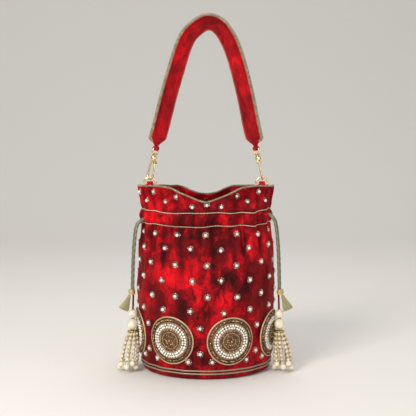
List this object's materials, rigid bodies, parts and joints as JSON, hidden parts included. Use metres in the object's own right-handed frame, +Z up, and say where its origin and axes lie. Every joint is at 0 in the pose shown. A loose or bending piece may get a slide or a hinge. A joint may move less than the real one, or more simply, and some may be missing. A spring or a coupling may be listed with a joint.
{
  "type": "potli bag",
  "caption": "Round drawstring pouch in beaded velvet with a gathered mouth, a clip-on strap on swivel hooks, and pearl tassels on its cords.",
  "frame": {"origin": "on the ground, under the middle of the bag's round base", "axes": "+Z up, -Y the front that the picture shows, +X to the viewer's right"},
  "size_m": [0.1888, 0.1425, 0.3843],
  "materials": {
    "red_velvet": "crushed velvet",
    "maroon_lining": "satin",
    "grey_card": "matt card",
    "zardozi_beadwork": "antique metal thread and beads",
    "silver_cord": "twisted metallic yarn",
    "gold_metal": "polished",
    "olive_thread": "metallic thread",
    "ivory_pearl": "pearl lustre"
  },
  "bodies": {
    "bag": {"bag_shell": "red_velvet", "lining": "maroon_lining", "base_board": "grey_card", "medallion_1": "zardozi_beadwork", "medallion_2": "zardozi_beadwork", "medallion_3": "zardozi_beadwork", "medallion_4": "zardozi_beadwork", "medallion_5": "zardozi_beadwork", "medallion_6": "zardozi_beadwork", "medallion_7": "zardozi_beadwork", "tab_left": "red_velvet", "casing_cord_left": "silver_cord", "cord_left_front": "silver_cord", "cord_left_back": "silver_cord", "cord_binding_left": "gold_metal", "tab_right": "red_velvet", "casing_cord_right": "silver_cord", "cord_right_front": "silver_cord", "cord_right_back": "silver_cord", "cord_binding_right": "gold_metal"},
    "strap": {"strap": "red_velvet", "swivel_eye_left": "gold_metal", "d_ring_left": "gold_metal", "swivel_eye_right": "gold_metal", "d_ring_right": "gold_metal"},
    "hook_left": {"claw_left": "gold_metal", "gate_rivet_left": "gold_metal"},
    "gate_left": {"gate_left": "gold_metal"},
    "tassel_left": {"tassel_skirt_left": "olive_thread", "pearl_hanger_left": "red_velvet", "pearl_small_left": "ivory_pearl", "pearl_large_left": "ivory_pearl", "bead_cap_left": "gold_metal", "bead_strand_left_1": "ivory_pearl", "bead_strand_left_2": "ivory_pearl", "bead_strand_left_3": "ivory_pearl", "bead_strand_left_4": "ivory_pearl", "bead_strand_left_5": "ivory_pearl", "bead_strand_left_6": "ivory_pearl"},
    "hook_right": {"claw_right": "gold_metal", "gate_rivet_right": "gold_metal"},
    "gate_right": {"gate_right": "gold_metal"},
    "tassel_right": {"tassel_skirt_right": "olive_thread", "pearl_hanger_right": "red_velvet", "pearl_small_right": "ivory_pearl", "pearl_large_right": "ivory_pearl", "bead_cap_right": "gold_metal", "bead_strand_right_1": "ivory_pearl", "bead_strand_right_2": "ivory_pearl", "bead_strand_right_3": "ivory_pearl", "bead_strand_right_4": "ivory_pearl", "bead_strand_right_5": "ivory_pearl", "bead_strand_right_6": "ivory_pearl"}
  },
  "joints": [
    {"name": "strap_swing", "type": "hinge", "parent": "bag", "child": "strap", "pos_m": [0, 0, 0.2024], "axis": [1, 0, 0], "range_deg": [-65, 65]},
    {"name": "hook_left_swivel", "type": "hinge", "parent": "strap", "child": "hook_left", "pos_m": [-0.061, 0, 0.2091], "axis": [0.2079, 0, 0.9781], "range_deg": [-73, 0]},
    {"name": "gate_left_open", "type": "hinge", "parent": "hook_left", "child": "gate_left", "pos_m": [-0.05539, -0.00303, 0.22529], "axis": [0.8013, 0.5736, -0.1703], "range_deg": [0, 22], "stiffness_Nm_per_rad": 0.002, "springref_deg": -17.19},
    {"name": "tassel_left_swing", "type": "hinge", "parent": "bag", "child": "tassel_left", "pos_m": [-0.0788, -0.0202, 0.0827], "axis": [-1, 0, 0], "range_deg": [0, 35]},
    {"name": "hook_right_swivel", "type": "hinge", "parent": "strap", "child": "hook_right", "pos_m": [0.061, 0, 0.2091], "axis": [-0.2079, 0, 0.9781], "range_deg": [-40, 40]},
    {"name": "gate_right_open", "type": "hinge", "parent": "hook_right", "child": "gate_right", "pos_m": [0.05747, -0.0037, 0.22573], "axis": [0.9781, 0, 0.2079], "range_deg": [0, 22], "stiffness_Nm_per_rad": 0.002, "springref_deg": -17.19},
    {"name": "tassel_right_swing", "type": "hinge", "parent": "bag", "child": "tassel_right", "pos_m": [0.0788, -0.0202, 0.0827], "axis": [-1, 0, 0], "range_deg": [0, 35]}
  ]
}
